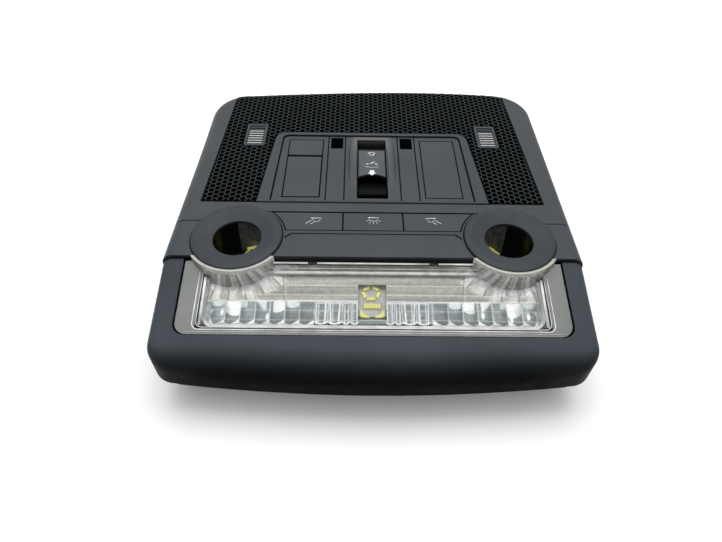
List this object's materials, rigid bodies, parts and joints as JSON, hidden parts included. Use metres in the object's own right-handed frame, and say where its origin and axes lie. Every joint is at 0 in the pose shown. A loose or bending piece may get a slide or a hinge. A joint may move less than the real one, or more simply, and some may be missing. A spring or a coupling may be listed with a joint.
{
  "type": "car interior light",
  "caption": "Car roof console with a front dome light behind a clear lens, round reading lamps, press buttons, a sliding roof switch, a flap and a hexagon grille.",
  "frame": {"origin": "on the sump's flat underside, midway across the console, 110 mm in front of its rear edge", "axes": "+X to the right of the face as the lens is nearest, +Y from the lens to the grille, +Z out of the face"},
  "size_m": [0.2058, 0.2134, 0.0515],
  "materials": {
    "shell_plastic": "satin, finely grained, dark blue-grey",
    "panel_plastic": "satin, dark blue-grey",
    "ring_plastic": "satin, dark blue-grey, turned",
    "button_plastic": "satin, dark blue-grey, white printed symbols",
    "grille_plastic": "matt black mesh",
    "window_plastic": "smoked and glossy",
    "felt": "pale felt",
    "capsule_metal": "plain can",
    "clear_plastic": "clear and polished",
    "bright_plastic": "metallised, bright",
    "cup_plastic": "dark, polished",
    "led_yellow": "yellow phosphor under clear gel",
    "board_laminate": "green solder mask",
    "inner_plastic": "plain moulded black",
    "housing_plastic": "plain moulded black, glass-filled",
    "contact_metal": "tinned",
    "steel": "zinc-plated"
  },
  "bodies": {
    "console": {"rear_cover": "shell_plastic", "centre_trim": "shell_plastic", "front_bezel": "shell_plastic", "grille": "grille_plastic", "mic_cover_left": "panel_plastic", "mic_cover_right": "panel_plastic", "mic_filter_left": "felt", "mic_filter_right": "felt", "mic_capsule_left": "capsule_metal", "mic_capsule_right": "capsule_metal", "panel_surround": "panel_plastic", "panel_left": "panel_plastic", "panel_right": "panel_plastic", "strip_left": "panel_plastic", "strip_right": "panel_plastic", "switch_bezel": "panel_plastic", "window_left": "window_plastic", "window_right": "window_plastic", "blank_left": "panel_plastic", "blank_right": "panel_plastic", "switch_housing": "inner_plastic", "tact_bases": "inner_plastic", "ring_left": "ring_plastic", "ring_right": "ring_plastic", "reading_reflector_left": "cup_plastic", "reading_reflector_right": "cup_plastic", "reading_led_left": "led_yellow", "reading_led_right": "led_yellow", "lens": "clear_plastic", "optic_plate": "clear_plastic", "reflector_tray": "bright_plastic", "led_board": "board_laminate", "dome_leds": "led_yellow", "circuit_board": "board_laminate", "board_chips": "inner_plastic", "connector_header": "inner_plastic", "connector_pins": "contact_metal", "rear_housing": "housing_plastic", "housing_screws": "steel", "spring_clips": "steel"},
    "button_left": {"button_left": "button_plastic", "plunger_left": "inner_plastic"},
    "button_centre": {"button_centre": "button_plastic", "plunger_centre": "inner_plastic"},
    "button_right": {"button_right": "button_plastic", "plunger_right": "inner_plastic"},
    "call_button": {"call_button": "button_plastic", "plunger_call": "inner_plastic"},
    "call_flap": {"call_flap": "panel_plastic"},
    "switch_carriage": {"switch_carriage": "inner_plastic"},
    "switch_knob": {"switch_knob": "button_plastic"}
  },
  "joints": [
    {"name": "button_left_press", "type": "slide", "parent": "console", "child": "button_left", "axis": [0, 0, -1], "range_m": [0, 0.0008], "stiffness_N_per_m": 1500, "springref_m": -0.0006},
    {"name": "button_centre_press", "type": "slide", "parent": "console", "child": "button_centre", "axis": [0, 0, -1], "range_m": [0, 0.0008], "stiffness_N_per_m": 1500, "springref_m": -0.0006},
    {"name": "button_right_press", "type": "slide", "parent": "console", "child": "button_right", "axis": [0, 0, -1], "range_m": [0, 0.0008], "stiffness_N_per_m": 1500, "springref_m": -0.0006},
    {"name": "call_press", "type": "slide", "parent": "console", "child": "call_button", "axis": [0, 0, -1], "range_m": [0, 0.0008], "stiffness_N_per_m": 1500, "springref_m": -0.0006},
    {"name": "flap_hinge", "type": "hinge", "parent": "console", "child": "call_flap", "pos_m": [-0.0386, 0.0315, 0.0479], "axis": [-1, 0, 0], "range_deg": [0, 75]},
    {"name": "switch_slide", "type": "slide", "parent": "console", "child": "switch_carriage", "axis": [0, 1, 0], "range_m": [-0.003, 0.003], "stiffness_N_per_m": 1500},
    {"name": "switch_press", "type": "slide", "parent": "switch_carriage", "child": "switch_knob", "axis": [0, 0, -1], "range_m": [0, 0.0008], "stiffness_N_per_m": 1500, "springref_m": -0.0006}
  ]
}
